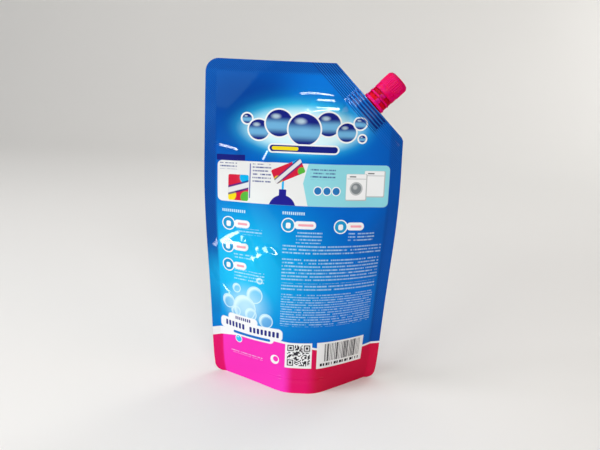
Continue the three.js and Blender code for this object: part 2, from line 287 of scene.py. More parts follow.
def film_strips():
    """Strips of the pouch's closed skin, in order round it: points, film places and web."""
    u = film_columns()[None, :]
    open_edge = np.ones_like(u)
    open_edge[0, [0, -1]] = 0
    foot, top = foot_edge(u), top_edge(u)

    def strip(v, side, inset, web):
        points = film_point(u, v, side, inset)
        middle = lean(u, v)
        points[..., 1] = middle + (points[..., 1] - middle) * open_edge
        places = np.stack(np.broadcast_arrays(film_length(u, v, side), v), axis=-1)
        return points, places, web

    def rising(shares):
        return foot + shares * (top - foot)

    in_weld = np.abs(u - SPOUT_U) < WELD_LENGTH / 2 * math.cos(CUT_ANGLE)
    sinking = top - np.array([[0], [POCKET_DEPTH]]) * in_weld
    pocket_inset = np.where(in_weld, SLEEVE_WALL, HEIGHT)

    t = np.abs(u) / INNER
    in_gusset = t < GUSSET_SPAN
    seal = np.where(in_gusset, SKIRT_HEIGHT + GUSSET_RISE * t**SEAL_CURVE, foot)
    climb = foot + np.linspace(0, 1, SKIRT_ROWS + 1)[:, None] * (seal - foot)
    skirt_inset = np.where(in_gusset, SKIRT_WALL, HEIGHT)
    front_skirt = strip(climb, -1, skirt_inset, GUSSET_WEB)
    back_skirt = strip(climb[::-1], 1, skirt_inset, GUSSET_WEB)

    across = np.linspace(-1, 1, GUSSET_ROWS + 1)[1:-1, None]
    share = (across[..., None] + 1) / 2
    points = front_skirt[0][-1] * (1 - share) + back_skirt[0][0] * share
    to_side = np.clip((t - REST_SPAN) / (1 - REST_SPAN), 0, 1)
    middle = GUSSET_PEAK * seal * to_side**PEAK_CURVE
    arch = middle + (seal - middle) * np.abs(across) ** ARCH_CURVE
    points[..., 2] = np.where(in_gusset, arch, foot)
    places = np.stack(np.broadcast_arrays(u, GUSSET_PLACE + GUSSET_REACH * across), axis=-1)

    return (
        strip(rising(BACK_ROWS), 1, 0, BACK_WEB),
        strip(sinking, 1, pocket_inset, CUT_EDGE),
        strip(sinking[::-1], -1, pocket_inset, CUT_EDGE),
        strip(rising(FRONT_ROWS)[::-1], -1, 0, FRONT_WEB),
        front_skirt,
        (points, places, GUSSET_WEB),
        back_skirt,
        strip(foot, 1, 0, CUT_EDGE),
    )


# Angles in degrees; an edge sharper than its piece's angle stays crisp
FILM_CRISP = 60
MOULD_CRISP = 45


def film_piece():
    """The pouch's skin: a grid that is laid along the strips and closed into one shell."""
    strips = film_strips()
    points = np.concatenate([each[0] for each in strips])
    places = np.concatenate([each[1] for each in strips])
    webs = np.concatenate([np.full(len(each[0]), each[2]) for each in strips])
    rows, columns = points.shape[:2]

    mesh = bmesh.new()
    bmesh.ops.create_grid(mesh, x_segments=columns - 1, y_segments=rows - 1, size=0.5)
    print_map = mesh.loops.layers.uv.new("film")
    spot = {}
    for vert in mesh.verts:
        column = round((vert.co.x + 0.5) * (columns - 1))
        row = round((vert.co.y + 0.5) * (rows - 1))
        spot[vert] = (row, column)
        vert.co = Vector(points[row, column]) * MM
    for face in mesh.faces:
        low = min(spot[vert][0] for vert in face.verts)
        same_web = webs[low] == webs[low + 1]
        face.material_index = int(webs[low]) if same_web else CUT_EDGE
        for loop in face.loops:
            loop[print_map].uv = places[spot[loop.vert]]
    bmesh.ops.remove_doubles(mesh, verts=mesh.verts, dist=1e-6)
    bmesh.ops.dissolve_degenerate(mesh, edges=mesh.edges, dist=1e-7)
    bmesh.ops.recalc_face_normals(mesh, faces=mesh.faces)
    return finished("pouch_film", [mesh], FILM_CRISP)


def finished(name, shells, crisp, placed=Matrix.Identity(4)):
    """One smooth-shaded piece from its shells, with its place in its mesh."""
    data = bpy.data.meshes.new(name)
    whole = bmesh.new()
    for shell in shells:
        bmesh.ops.transform(shell, matrix=placed, verts=shell.verts)
        shell.to_mesh(data)
        shell.free()
        whole.from_mesh(data)
    for face in whole.faces:
        face.smooth = True
    whole.to_mesh(data)
    whole.free()
    data.set_sharp_from_angle(angle=math.radians(crisp))
    piece = bpy.data.objects.new(name, data)
    bpy.context.scene.collection.objects.link(piece)
    return piece


# Closure sizes: h runs along the spout's axis from the cut edge
GAP = 0.3
SLEEVE_PROUD = 0.15
WELD_RIBS = 4
WELD_RIB = 0.3
FLANGE_RADIUS = 9.3
FLANGE_THICKNESS = 1.9
NECK_RADIUS = 6.4
NECK_TOP = 23
BORE_RADIUS = 4.7
WELD_BORE_RADIUS = 3.6
LUG_COUNT = 4
LUG_ANGLE = math.radians(26)
LUG_TURN = math.radians(-100)
LUG_RADIUS = 8.8
LUG_HEIGHT = 3.2
WINDOW_DEPTH = 0.8
BAND_RADIUS = 9.1
BAND_HEIGHT = 1.4
BAND_WALL = 2.3
BEAD_PROUD = 0.7
BEAD_HEIGHT = 0.9
POST_HEIGHT = 2.9
POST_WALL = 1.1
PITCH = 3
THREAD_TURNS = 2.2
CAP_THREAD_TURNS = 1.6
THREAD_START = 13
THREAD_PROUD = 1
THREAD_ROOT = 1.1
THREAD_TIP = 0.6
CAP_HEIGHT = 16.8
COLLAR_RADIUS = 8.9
COLLAR_HEIGHT = 4.8
GRIP_RADIUS = 8.8
GRIP_RIBS = 32
RIB_PROUD = 0.35
DOME_RADIUS = 2.8
DOME_RISE = 0.4
CAP_TOP_WALL = 1.6
PLUG_LENGTH = 4.5
PLUG_WALL = 0.5
SINK = 0.2

FLANGE_FOOT = SLEEVE_PROUD + GAP
FLANGE_TOP = FLANGE_FOOT + FLANGE_THICKNESS
LUG_TOP = FLANGE_TOP + LUG_HEIGHT
BAND_FOOT = LUG_TOP + GAP
BAND_TOP = BAND_FOOT + BAND_HEIGHT
BEAD_FOOT = BAND_TOP + GAP
POST_TOP = BAND_TOP + POST_HEIGHT
CAP_FOOT = POST_TOP + GAP
CAP_TOP = CAP_FOOT + CAP_HEIGHT
CAP_CEILING = CAP_TOP - CAP_TOP_WALL
CAP_BORE = NECK_RADIUS + THREAD_PROUD + GAP
GRIP_FOOT = CAP_FOOT + COLLAR_HEIGHT
GRIP_TOP = CAP_TOP - DOME_RISE - DOME_RADIUS

# Roundings and run-outs of the closure
EDGE_RADIUS = 0.3
EDGE_SHARE = 0.45
PLUG_EDGE = 0.15
GRIP_EASE = 0.3
RIB_FOOT = (0.1, 0.5)
RIB_TOP_EASE = 0.2
RIB_DOME_SHARE = 0.6
RIB_TURN = 0.35
RIB_FLANK = 0.6
THREAD_RUN_OUT = 12
THREAD_END = 0.05
BASE_SLOPE = 2
BASE_DROP = 1

# Steps of the closure's round forms
ROUND_STEPS = 8 * GRIP_RIBS
NECK_STEPS = 96
PLUG_STEPS = 64
EDGE_STEPS = 4
DOME_STEPS = 10
GRIP_ROWS = 8
CROWN_STEPS = 7
BLOCK_CUTS = 7
THREAD_CUTS = 40
BASE_STEPS = 26


def closure_frame():
    """x runs down the cut, y runs back through the film and z runs out along the spout's axis."""
    turn = math.atan(lean(SPOUT_U + 0.5, SPOUT_V) - lean(SPOUT_U - 0.5, SPOUT_V))
    level = Vector((math.cos(turn), math.sin(turn), 0))
    upright = Vector((0, 0, 1))
    along = level * math.cos(CUT_ANGLE) - upright * math.sin(CUT_ANGLE)
    axis = level * math.sin(CUT_ANGLE) + upright * math.cos(CUT_ANGLE)
    placed = Matrix((along, axis.cross(along), axis)).transposed().to_4x4()
    placed.translation = Vector((SPOUT_U, lean(SPOUT_U, SPOUT_V), SPOUT_V)) * MM
    return placed


def eased(corners, radius=EDGE_RADIUS, closed=False):
    """A profile of (radius, height) corners with its corners rounded."""
    points = [Vector(corner) for corner in corners]
    count = len(points)
    line = []
    for i, corner in enumerate(points):
        if not closed and i in (0, count - 1):
            line.append(corner)
            continue
        before = points[i - 1] - corner
        after = points[(i + 1) % count] - corner
        start = corner + before.normalized() * min(radius, before.length * EDGE_SHARE)
        end = corner + after.normalized() * min(radius, after.length * EDGE_SHARE)
        for share in np.linspace(0, 1, EDGE_STEPS):
            line.append(start.lerp(corner, share).lerp(corner.lerp(end, share), share))
    return line


def turned(profile, closed=False, steps=ROUND_STEPS):
    """A shell of revolution about the axis."""
    shell = bmesh.new()
    verts = [shell.verts.new((r * MM, 0, h * MM)) for r, h in profile]
    pairs = list(zip(verts, verts[1:] + verts[:1]))
    edges = [shell.edges.new(pair) for pair in (pairs if closed else pairs[:-1])]
    bmesh.ops.spin(shell, geom=verts + edges, axis=(0, 0, 1), angle=TURN, steps=steps, use_merge=True)
    bmesh.ops.remove_doubles(shell, verts=shell.verts, dist=1e-7)
    bmesh.ops.dissolve_degenerate(shell, edges=shell.edges, dist=1e-8)
    on_axis = [edge for edge in shell.edges if not edge.link_faces]
    bmesh.ops.delete(shell, geom=on_axis, context="EDGES")
    bmesh.ops.recalc_face_normals(shell, faces=shell.faces)
    return shell


def cut_across(shell, direction, place):
    everything = shell.verts[:] + shell.edges[:] + shell.faces[:]
    bmesh.ops.bisect_plane(shell, geom=everything, plane_co=direction * place, plane_no=direction)


def bar(size, cuts, rounded=0.0):
    """A straight bar along x in steps, with rounded edges if asked for."""
    shell = bmesh.new()
    bmesh.ops.create_cube(shell, size=1, matrix=Matrix.Diagonal((*size, 1)))
    if rounded:
        bmesh.ops.bevel(
            shell, geom=shell.edges, offset=rounded, segments=2, profile=0.5, affect="EDGES", material=-1)
    for place in np.linspace(-size[0] / 2, size[0] / 2, cuts + 2)[1:-1]:
        cut_across(shell, Vector((1, 0, 0)), place)
    return shell


def block_on_wall(inner, outer, low, high, place):
    """A rounded block bent round the axis, from the inner radius to the outer one."""
    shell = bar((outer * LUG_ANGLE, outer - inner, high - low), BLOCK_CUTS, EDGE_RADIUS)
    for vert in shell.verts:
        angle = place + vert.co.x / outer
        radius = (inner + outer) / 2 + vert.co.y
        height = (low + high) / 2 + vert.co.z
        vert.co = Vector((radius * math.cos(angle), radius * math.sin(angle), height)) * MM
    bmesh.ops.recalc_face_normals(shell, faces=shell.faces)
    return shell


def blocks_on_wall(inner, outer, low, high):
    places = [LUG_TURN + TURN * i / LUG_COUNT for i in range(LUG_COUNT)]
    return [block_on_wall(inner, outer, low, high, place) for place in places]


def thread_ridge(wall, crest, start, turns):
    """A right-handed ridge, bent from a straight bar; its ends run out into the wall."""
    shell = bar((1, 1, 1), round(turns * THREAD_CUTS))
    for vert in shell.verts:
        share = vert.co.x + 0.5
        grown = min(1, THREAD_RUN_OUT * min(share, 1 - share) + THREAD_END)
        at_crest = vert.co.y > 0
        radius = wall + (crest - wall) * grown * at_crest
        width = THREAD_TIP if at_crest else THREAD_ROOT
        angle = TURN * turns * share
        height = start + PITCH * turns * share + vert.co.z * width
        vert.co = Vector((radius * math.cos(angle), radius * math.sin(angle), height)) * MM
    bmesh.ops.recalc_face_normals(shell, faces=shell.faces)
    return shell


def weld_base():
    """Boat-shaped base with its ribs, as long as the slot in the film."""
    low, high = -WELD_DEPTH, FLANGE_FOOT + SINK
    shell = bar((2, 1, high - low), BASE_STEPS)
    for height in np.linspace(low, high, BASE_STEPS)[1:-1] - (low + high) / 2:
        cut_across(shell, Vector((0, 0, 1)), height)
    for vert in shell.verts:
        height = vert.co.z + (low + high) / 2
        from_axis = abs(vert.co.x) * WELD_LENGTH / 2
        under_flange = 1 - smoothstep(from_axis, FLANGE_RADIUS - BASE_SLOPE, FLANGE_RADIUS)
        height -= max(height + BASE_DROP, 0) * (1 - under_flange)
        rib = WELD_RIB / 2 * math.cos(TURN * WELD_RIBS * height / WELD_DEPTH)
        depth = (WELD_THICKNESS / 2 - WELD_RIB / 2 + rib) * (1 - vert.co.x**2) + GAP / 2
        vert.co = Vector((vert.co.x * WELD_LENGTH / 2, math.copysign(depth, vert.co.y), height)) * MM
    bmesh.ops.recalc_face_normals(shell, faces=shell.faces)
    return shell


def spout_piece():
    bead = NECK_RADIUS + BEAD_PROUD
    core = LUG_RADIUS - WINDOW_DEPTH
    neck = turned(eased([
        (WELD_BORE_RADIUS, FLANGE_FOOT), (FLANGE_RADIUS, FLANGE_FOOT), (FLANGE_RADIUS, FLANGE_TOP),
        (core, FLANGE_TOP), (core, LUG_TOP), (NECK_RADIUS, LUG_TOP), (NECK_RADIUS, BEAD_FOOT),
        (bead, BEAD_FOOT), (bead, BEAD_FOOT + BEAD_HEIGHT / 3), (NECK_RADIUS, BEAD_FOOT + BEAD_HEIGHT),
        (NECK_RADIUS, NECK_TOP), (BORE_RADIUS, NECK_TOP), (BORE_RADIUS, LUG_TOP),
    ], closed=True), closed=True, steps=NECK_STEPS)
    lugs = blocks_on_wall(core - SINK, LUG_RADIUS, FLANGE_TOP - SINK, LUG_TOP)
    thread = thread_ridge(NECK_RADIUS - SINK, NECK_RADIUS + THREAD_PROUD, THREAD_START, THREAD_TURNS)
    return finished("spout_moulding", [neck, weld_base(), thread, *lugs], MOULD_CRISP, closure_frame())


def band_piece():
    inside = BAND_RADIUS - BAND_WALL
    outside = COLLAR_RADIUS - SINK
    skirt_outside = outside - WINDOW_DEPTH
    skirt_inside = NECK_RADIUS + BEAD_PROUD + GAP
    ring = turned(eased([
        (inside, BAND_FOOT), (BAND_RADIUS, BAND_FOOT), (BAND_RADIUS, BAND_TOP), (skirt_outside, BAND_TOP),
        (skirt_outside, POST_TOP), (skirt_inside, POST_TOP), (skirt_inside, BAND_TOP), (inside, BAND_TOP),
    ], closed=True), closed=True, steps=NECK_STEPS)
    posts = blocks_on_wall(outside - POST_WALL, outside, BAND_TOP - SINK, POST_TOP)
    return finished("tamper_band_moulding", [ring, *posts], MOULD_CRISP, closure_frame())


def grip_ribs(shell):
    """Lifts the grip's wall into rounded ribs that run out at both ends."""
    for vert in shell.verts:
        radius = math.hypot(vert.co.x, vert.co.y)
        if radius < (CAP_BORE + SINK) * MM:
            continue
        height = vert.co.z / MM
        run = smoothstep(height, GRIP_FOOT + RIB_FOOT[0], GRIP_FOOT + RIB_FOOT[1])
        run *= 1 - smoothstep(height, GRIP_TOP - RIB_TOP_EASE, GRIP_TOP + DOME_RADIUS * RIB_DOME_SHARE)
        phase = math.atan2(vert.co.y, vert.co.x) * GRIP_RIBS - RIB_TURN * TURN
        rib = smoothstep(math.cos(phase), -RIB_FLANK, RIB_FLANK)
        vert.co.xy *= 1 + RIB_PROUD * MM * rib * run / radius


def cap_piece():
    dome = [(GRIP_RADIUS - DOME_RADIUS * (1 - math.cos(a)), GRIP_TOP + DOME_RADIUS * math.sin(a))
            for a in np.linspace(0, math.pi / 2, DOME_STEPS)]
    collar = [Vector((CAP_BORE, CAP_FOOT)), *eased([
        (CAP_BORE, CAP_FOOT), (COLLAR_RADIUS, CAP_FOOT), (COLLAR_RADIUS, GRIP_FOOT),
        (GRIP_RADIUS - GRIP_EASE / 2, GRIP_FOOT), (GRIP_RADIUS, GRIP_FOOT + GRIP_EASE),
    ])[1:]]
    grip = [(GRIP_RADIUS, h) for h in np.linspace(GRIP_FOOT + 2 * GRIP_EASE, GRIP_TOP, GRIP_ROWS)[:-1]]
    rim = dome[-1][0]
    crown = [(r, CAP_TOP - DOME_RISE * (r / rim) ** 2) for r in np.linspace(rim, 0, CROWN_STEPS)[1:]]
    inside = [(0, CAP_CEILING), (CAP_BORE, CAP_CEILING)]
    shell = turned([*collar, *grip, *dome, *crown, *inside, (CAP_BORE, CAP_FOOT)])
    grip_ribs(shell)
    plug_radius = BORE_RADIUS - GAP
    plug_foot = CAP_CEILING - PLUG_LENGTH
    plug = turned(eased([
        (plug_radius - PLUG_WALL, plug_foot), (plug_radius, plug_foot), (plug_radius, CAP_CEILING + SINK),
        (plug_radius - PLUG_WALL, CAP_CEILING + SINK),
    ], PLUG_EDGE, closed=True), closed=True, steps=PLUG_STEPS)
    thread = thread_ridge(CAP_BORE + SINK, NECK_RADIUS + GAP, THREAD_START + PITCH / 2, CAP_THREAD_TURNS)
    return finished("cap_moulding", [shell, plug, thread], MOULD_CRISP, closure_frame())


# Materials
def ink(code):
    """A linear colour from an sRGB hex value."""
    values = [int(code[i:i + 2], 16) / 255 for i in (0, 2, 4)]
    return [x / 12.92 if x <= 0.04045 else ((x + 0.055) / 1.055) ** 2.4 for x in values] + [1]


def add(tree, kind, *inputs, out=0, **settings):
    """Adds a node with its settings; an input is a link, a value or None for its default."""
    node = tree.nodes.new("ShaderNode" + kind)
    for name, value in settings.items():
        setattr(node, name, value)
    for socket, value in zip(node.inputs, inputs):
        if isinstance(value, bpy.types.NodeSocket):
            tree.links.new(value, socket)
        elif value is not None:
            socket.default_value = value
    return node.outputs[out]


def material(name, **shading):
    made = bpy.data.materials.new(name)
    made.use_nodes = True
    shader = made.node_tree.nodes["Principled BSDF"]
    for socket, value in shading.items():
        shader.inputs[socket.replace("_", " ")].default_value = value
    return made, made.node_tree, shader


def layered(tree, below, mask, colour):
    """Ink laid over what is printed below it, where the mask is 1."""
    return add(tree, "Mix", mask, None, None, None, None, None, below, colour, out=2, data_type="RGBA")


def fade(tree, value, start, end, low=0.0, high=1.0):
    """Eases from low to high while the value runs from start to end."""
    # The print has so many nodes that its shader compiles only if these are left unclamped
    return add(
        tree, "MapRange", value, start, end, low, high, interpolation_type="SMOOTHSTEP", clamp=False)


PRINT_EDGE = 0.12


def within(tree, distance, reach, edge=PRINT_EDGE):
    return fade(tree, distance, reach - edge, reach + edge, 1.0, 0.0)


def disc(tree, film, centre, radius, edge=PRINT_EDGE):
    distance = add(tree, "VectorMath", film, (*centre, 0), operation="DISTANCE", out=1)
    return within(tree, distance, radius, edge)


def panel(tree, film, centre, size, corner, edge=PRINT_EDGE):
    """A rectangle with rounded corners."""
    inner = (size[0] / 2 - corner, size[1] / 2 - corner, 0)
    offset = add(tree, "VectorMath", film, (*centre, 0), operation="SUBTRACT")
    offset = add(tree, "VectorMath", offset, operation="ABSOLUTE")
    offset = add(tree, "VectorMath", offset, inner, operation="SUBTRACT")
    offset = add(tree, "VectorMath", offset, (0, 0, 0), operation="MAXIMUM")
    distance = add(tree, "VectorMath", offset, operation="LENGTH", out=1)
    return within(tree, distance, corner, edge)


def panels(tree, film, ground, shapes):
    """Lays panels over the ground in turn: centre, size, corner and ink of each."""
    for centre, size, corner, colour in shapes:
        ground = layered(tree, ground, panel(tree, film, centre, size, corner), colour)
    return ground


def discs(tree, film, ground, shapes):
    """Lays discs over the ground in turn: centre, radius and ink of each."""
    for centre, radius, colour in shapes:
        ground = layered(tree, ground, disc(tree, film, centre, radius), colour)
    return ground


# Narrowest and widest stroke of a comb, as shares of its pitch
STROKES = (0.3, 0.82)


def comb(tree, film, pitch):
    """Upright strokes of uneven width, one in each pitch."""
    across = split(tree, film)[0]
    place = add(tree, "Math", across, pitch, operation="DIVIDE")
    cell = add(tree, "Math", place, operation="FLOOR")
    chance = add(tree, "TexWhiteNoise", None, cell, noise_dimensions="1D")
    width = fade(tree, chance, 0.2, 0.8, *STROKES)
    share = add(tree, "Math", place, cell, operation="SUBTRACT")
    return add(tree, "Math", share, width, operation="LESS_THAN")


# Pitch of small blocks as a share of their height, and their width and corner as shares of the pitch
BLOCK_PITCH = 0.72
BLOCK_WIDTH = 0.62
BLOCK_CORNER = 0.2


def blocks(tree, film, lines):
    """Lines of small even blocks: middle, number of blocks and height of each line."""
    across, up = split(tree, film)
    masks = []
    for s, v, count, high in lines:
        pitch = BLOCK_PITCH * high
        place = add(tree, "Math", across, s - count * pitch / 2, operation="SUBTRACT")
        place = add(tree, "Math", place, pitch, 0.0, operation="WRAP")
        local = add(tree, "CombineXYZ", place, up)
        mark = panel(tree, local, (pitch / 2, v), (BLOCK_WIDTH * pitch, high), BLOCK_CORNER * pitch)
        masks.append(both(tree, mark, panel(tree, film, (s, v), (count * pitch, high + 1), 0.1)))
    return either(tree, masks)


def glow(tree, film, centre, reach, soft=1.0):
    """1 in the middle, fading to 0 at an ellipse of that reach."""
    offset = add(tree, "VectorMath", film, (*centre, 0), operation="SUBTRACT")
    offset = add(tree, "VectorMath", offset, (1 / reach[0], 1 / reach[1], 1), operation="MULTIPLY")
    distance = add(tree, "VectorMath", offset, operation="LENGTH", out=1)
    return fade(tree, distance, 1 - soft, 1.0, 1.0, 0.0)


def both(tree, first, second):
    return add(tree, "Math", first, second, operation="MULTIPLY")


def either(tree, masks):
    total = masks[0]
    for mask in masks[1:]:
        total = add(tree, "Math", total, mask, operation="MAXIMUM")
    return total


def split(tree, film):
    return add(tree, "SeparateXYZ", film).node.outputs[:2]


# Fine print: length of its short breaks, half a row's thickness as a share of its pitch, and how far apart
# two rows lie in the noise
LETTER = 0.7
ROW_HALF = 0.2
ROW_STEP = 7.31


def rules(tree, film, pitch, word):
    """Rows of dashes, broken unevenly into long and short stretches as fine print is."""
    across, up = split(tree, film)
    row = add(tree, "Math", up, pitch, operation="DIVIDE")
    number = add(tree, "Math", row, operation="FLOOR")
    height = add(tree, "Math", row, number, operation="SUBTRACT")
    off_middle = add(tree, "Math", height, 0.5, operation="SUBTRACT")
    off_middle = add(tree, "Math", off_middle, operation="ABSOLUTE")
    marks = within(tree, off_middle, ROW_HALF)
    far = add(tree, "Math", number, ROW_STEP, operation="MULTIPLY")
    for length, low, high, least in ((word, 0.3, 0.38, 0.0), (LETTER, 0.3, 0.6, 0.2)):
        place = add(tree, "Math", across, length, operation="DIVIDE")
        spot = add(tree, "CombineXYZ", place, far)
        noise = add(tree, "TexNoise", spot, None, 1.0, 1.0, 0.5, noise_dimensions="2D")
        marks = both(tree, marks, fade(tree, noise, low, high, least, 1.0))
    return marks


# Inks of the print
DEEP_BLUE = ink("02439A")
BLUE = ink("0062C4")
MID_BLUE = ink("0678DC")
SKY = ink("08B2EC")
BRIGHT_SKY = ink("1FC4F2")
ICE = ink("D9F6FB")
WHITE = ink("F1F3F3")
NAVY = ink("15207F")
# Painted shade and painted highlight for the lines of the pressed seals
PAINTED_SEAL_SHADE = ink("08287A")
PAINTED_SEAL_HIGHLIGHT = ink("2492EE")
PANEL_GREY = ink("E9EBEA")
PANEL_CYAN = ink("8FD6E0")
PINK = ink("F534BA")
ROSE = ink("E4136C")
# Painted shade of the pink foot's right side
SHADE_CRIMSON = ink("D21042")
YELLOW = ink("F2DC1E")
RED = ink("D3203F")
GREEN = ink("58B63C")
DARK = ink("2A2830")
STEEL = ink("B9BDBE")

# Glows of the blue ground: middle and reach, and softness where it isn't full
DARK_CORNER = ((-46, 218), (72, 54), 0.9)
MID_GLOWS = (((16, 233), (44, 26)), ((50, 68), (62, 62)))
BELLY_GLOW = ((-44, 92), (98, 84))
BELLY_CORE = ((-44, 92), (40, 60))
EMBLEM_GLOW = ((-2, 201), (66, 34))

# Darker right side and dark strips along the seals: where each eases in
RIGHT_SHADE = (44.0, 74.0)
STRIP_START = 64.5
STRIP_END = 67.5
STRIP_TOP = (212.0, 196.0)
STRIP_FOOT = (84.0, 112.0)
TOP_STRIP = (HEIGHT - 9.0, HEIGHT - 6.5)


def colour_fields(tree, film):
    """Blue ground with its lighter glows, darker corner and darker edges."""
    across, up = split(tree, film)
    ground = layered(tree, BLUE, glow(tree, film, *DARK_CORNER), DEEP_BLUE)
    ground = layered(tree, ground, fade(tree, across, *RIGHT_SHADE, 0.0, 0.4), DEEP_BLUE)
    for middle, reach in MID_GLOWS:
        ground = layered(tree, ground, glow(tree, film, middle, reach), MID_BLUE)
    ground = layered(tree, ground, glow(tree, film, *BELLY_GLOW), SKY)
    ground = layered(tree, ground, both(tree, glow(tree, film, *BELLY_CORE), 0.8), BRIGHT_SKY)
    below_top = fade(tree, up, *STRIP_TOP)
    above_belly = fade(tree, up, *STRIP_FOOT)
    on_left = both(tree, fade(tree, across, -STRIP_START, -STRIP_END, 0.0, 0.95), above_belly)
    on_right = fade(tree, across, STRIP_START, STRIP_END, 0.0, 0.8)
    ground = layered(tree, ground, both(tree, either(tree, [on_left, on_right]), below_top), DEEP_BLUE)
    ground = layered(tree, ground, fade(tree, up, *TOP_STRIP, 0.0, 0.6), DEEP_BLUE)
    return layered(tree, ground, glow(tree, film, *EMBLEM_GLOW), SKY)


# Pink foot: its wave has one crest on the film's width, under a white band that thins to the right
# The pink is painted darker as shade: rose and then crimson towards the right, and rose on the left seal
# strip
FOOT_HEIGHT = 34.0
FOOT_SWING = 5.0
FOOT_CREST = -22
BAND_SPAN = (-74.0, -30.0)
BAND_THICKNESS = (7.0, 1.6)
ROSE_START = (-9.0, 0.0)
SHADE_CRIMSON_START = (7.0, 20.0)
ROSE_STRIP = (-64.5, -66.5)


def pink_foot(tree, film, ground):
    """The pink field under a slow white wave, with painted shade that darkens it to rose and crimson towards
    the right.
    """
    across, up = split(tree, film)
    swing = add(tree, "Math", across, math.pi / SIDE, -FOOT_CREST * math.pi / SIDE, operation="MULTIPLY_ADD")
    swing = add(tree, "Math", swing, operation="COSINE")
    crest = add(tree, "Math", swing, FOOT_SWING, FOOT_HEIGHT, operation="MULTIPLY_ADD")
    over = add(tree, "Math", up, crest, operation="SUBTRACT")
    band = fade(tree, across, *BAND_SPAN, *BAND_THICKNESS)
    over_band = add(tree, "Math", over, band, operation="SUBTRACT")
    ground = layered(tree, ground, within(tree, over_band, 0.0), WHITE)
    # Painted shade: pink on the left, rose then crimson towards the right, and rose again on the left seal
    # strip
    pink_with_painted_shade = layered(tree, PINK, fade(tree, across, *ROSE_START), ROSE)
    pink_with_painted_shade = layered(tree, pink_with_painted_shade, fade(tree, across, *SHADE_CRIMSON_START), SHADE_CRIMSON)
    pink_with_painted_shade = layered(tree, pink_with_painted_shade, fade(tree, across, *ROSE_STRIP), ROSE)
    return layered(tree, ground, within(tree, over, 0.0), pink_with_painted_shade)


# Bubbles: middle and radius
EMBLEM_BUBBLES = (
    (-43, 207, 3.6), (-34, 199, 7.6), (-19, 204.5, 10.0), (18, 205, 9.0), (0, 200.5, 12.0), (32, 199, 7.0),
    (42, 206, 4.4), (44, 194.5, 2.6),
)
FOAM_BUBBLES = (
    (-43, 61, 9.5), (-34, 73, 6.0), (-24, 54, 5.0), (-58, 64, 5.2), (-50, 76, 3.0), (-30, 85, 1.8),
    (-37, 57, 4.4), (-51, 57, 3.8),
)
EMBLEM_RIM = 1.2
FOAM_RIM = 0.8


def clear_bubbles(tree, film, ground, places, rim):
    """Clear bubbles: a pale rim, a milky inside and a bright crescent."""
    masks = []
    for u, v, radius in places:
        inside = disc(tree, film, (u, v), radius, 0.4)
        beside = disc(tree, film, (u + radius * 0.2, v - radius * 0.25), radius, radius * 0.3)
        edge = add(tree, "Math", disc(tree, film, (u, v), radius + rim, 0.3), inside, operation="SUBTRACT")
        crescent = add(tree, "Math", inside, beside, operation="SUBTRACT")
        milky = add(tree, "Math", inside, 0.15, crescent, operation="MULTIPLY_ADD")
        masks.append(either(tree, [both(tree, edge, 0.85), milky]))
    return layered(tree, ground, either(tree, masks), ICE)


def bubbles(tree, film, ground, places, rim, fill, shine_strength, depth=None):
    """Discs with a white rim and a soft shine; the depth colour fills their upper and lower ends."""
    up = split(tree, film)[1]
    for u, v, radius in places:
        inner = fill
        if depth:
            above = fade(tree, up, v - radius * 0.1, v + radius * 0.5)
            under = fade(tree, up, v - radius * 0.3, v - radius * 0.9)
            inner = layered(tree, fill, either(tree, [above, under]), depth)
        ground = layered(tree, ground, disc(tree, film, (u, v), radius + rim), WHITE)
        ground = layered(tree, ground, disc(tree, film, (u, v), radius), inner)
        shine = glow(tree, film, (u - radius * 0.25, v + radius * 0.5), (radius * 0.5, radius * 0.28), 0.8)
        ground = layered(tree, ground, both(tree, shine, shine_strength), ICE)
    return ground


# Emblem: middle, reach, softness and ink of its halo, then its bar's panels
EMBLEM_HALO = (((-1, 201), (60, 26), 0.6, ink("3FD0F2")), ((-1, 200), (52, 20), 0.5, ICE))
EMBLEM_BAR = (
    ((0, 185.6), (54, 7.2), 3.6, WHITE),
    ((0, 185.6), (51.5, 4.8), 2.4, NAVY),
    ((-14, 185.6), (20, 2.8), 1.4, YELLOW),
)


def emblem(tree, film, ground):
    """A plain cluster of bubbles over a slim bar, in a pale halo."""
    for middle, reach, soft, colour in EMBLEM_HALO:
        ground = layered(tree, ground, glow(tree, film, middle, reach, soft), colour)
    ground = bubbles(tree, film, ground, EMBLEM_BUBBLES, EMBLEM_RIM, ink("6FB2DC"), 0.6, NAVY)
    return panels(tree, film, ground, EMBLEM_BAR)


# A little pack's spots and bands: places, radii and widths as shares of its size, and inks
PACK_CORNER = 1.4
PACK_SPOTS = ((-0.4, -0.3, 0.3, YELLOW), (0.4, -0.36, 0.28, GREEN), (0.36, 0.4, 0.3, SKY))
PACK_BANDS = ((0.42, NAVY), (0.24, WHITE))
PACK_SLANT = math.radians(-18)


def small_pack(tree, place, ground, centre, size):
    """A little pack in plain colour blocks."""
    shape = panel(tree, place, centre, size, PACK_CORNER)
    ground = layered(tree, ground, shape, RED)
    for x, y, reach, colour in PACK_SPOTS:
        middle = (centre[0] + x * size[0], centre[1] + y * size[1])
        spot = disc(tree, place, middle, reach * min(size), 0.5)
        ground = layered(tree, ground, both(tree, spot, shape), colour)
    slanted = add(tree, "VectorRotate", place, (*centre, 0), None, PACK_SLANT, rotation_type="Z_AXIS")
    for wide, colour in PACK_BANDS:
        band = panel(tree, slanted, centre, (2 * max(size), wide * min(size)), 0.2, 0.4)
        ground = layered(tree, ground, both(tree, band, shape), colour)
    return ground


